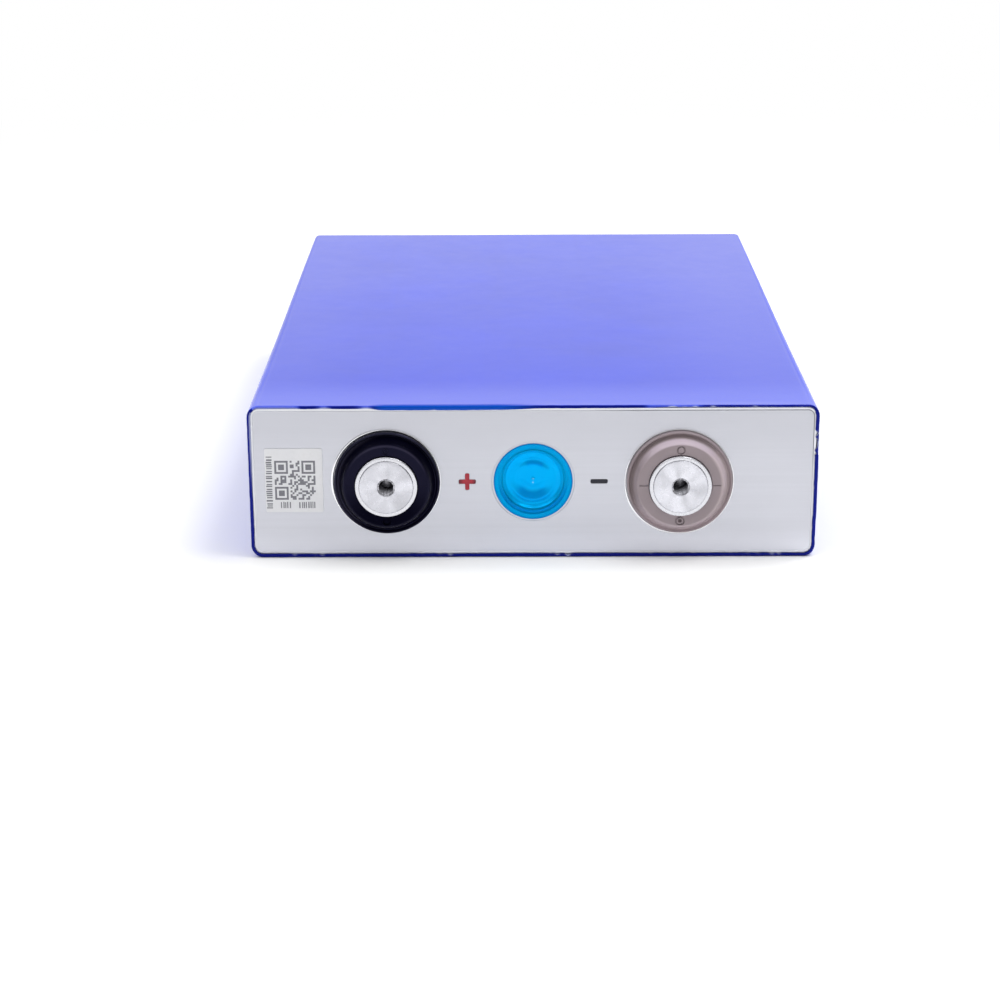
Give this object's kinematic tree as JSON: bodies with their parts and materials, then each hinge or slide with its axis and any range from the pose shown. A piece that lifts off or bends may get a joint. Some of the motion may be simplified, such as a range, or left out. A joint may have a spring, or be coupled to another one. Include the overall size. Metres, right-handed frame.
{
  "type": "prismatic battery cell",
  "caption": "Prismatic lithium iron phosphate cell: flat film-wrapped aluminium can with round threaded terminals and a film-covered safety vent at its lid end.",
  "frame": {"origin": "centre of the lower broad face, on the plane the cell lies on", "axes": "X along the cell's width, Y along its length from the lid (facing -Y) to the base (+Y), Z along its thickness, up"},
  "size_m": [0.1304, 0.2004, 0.0364],
  "materials": {
    "blue_film": "glossy deep blue polymer film over aluminium",
    "blue_patch": "satin blue film patch",
    "can_aluminium": "drawn",
    "lid_aluminium": "fine brushed along the width",
    "red_ink": "printed ink",
    "black_ink": "printed ink",
    "vent_film_blue": "clear glossy cyan blue film",
    "vent_aluminium": "pressed foil",
    "plug_rubber": "matt",
    "label_paper": "printed matt label",
    "black_plastic": "moulded, satin",
    "beige_plastic": "moulded, satin",
    "collar_aluminium": "turned",
    "terminal_aluminium": "turned face, satin",
    "copper": "bare copper",
    "seal_rubber": "matt",
    "insulator_plastic": "moulded",
    "foil_aluminium": "welded foils",
    "foil_copper": "welded foils",
    "roll_coating": "coated foil edge and separator",
    "bag_film": "thin clear blue film",
    "spacer_plastic": "moulded"
  },
  "bodies": {
    "root": {"outer_film": "blue_film", "base_patch": "blue_patch", "can": "can_aluminium", "lid_plate": "lid_aluminium", "plus_mark": "red_ink", "minus_mark": "black_ink", "vent_cover_film": "vent_film_blue", "vent_disc": "vent_aluminium", "fill_cap": "can_aluminium", "fill_plug": "plug_rubber", "data_label": "label_paper", "positive_ring": "black_plastic", "negative_ring": "beige_plastic", "positive_collar": "collar_aluminium", "negative_collar": "collar_aluminium", "positive_pole": "terminal_aluminium", "negative_pole_top": "terminal_aluminium", "negative_pole_base": "copper", "positive_seal": "seal_rubber", "negative_seal": "seal_rubber", "lower_insulator_positive": "insulator_plastic", "lower_insulator_negative": "insulator_plastic", "positive_collector": "foil_aluminium", "negative_collector": "copper", "positive_tab_stack_a": "foil_aluminium", "positive_tab_stack_b": "foil_aluminium", "negative_tab_stack_a": "foil_copper", "negative_tab_stack_b": "foil_copper", "electrode_roll_a": "roll_coating", "electrode_roll_b": "roll_coating", "roll_bag": "bag_film", "base_spacer": "spacer_plastic"}
  },
  "joints": []
}
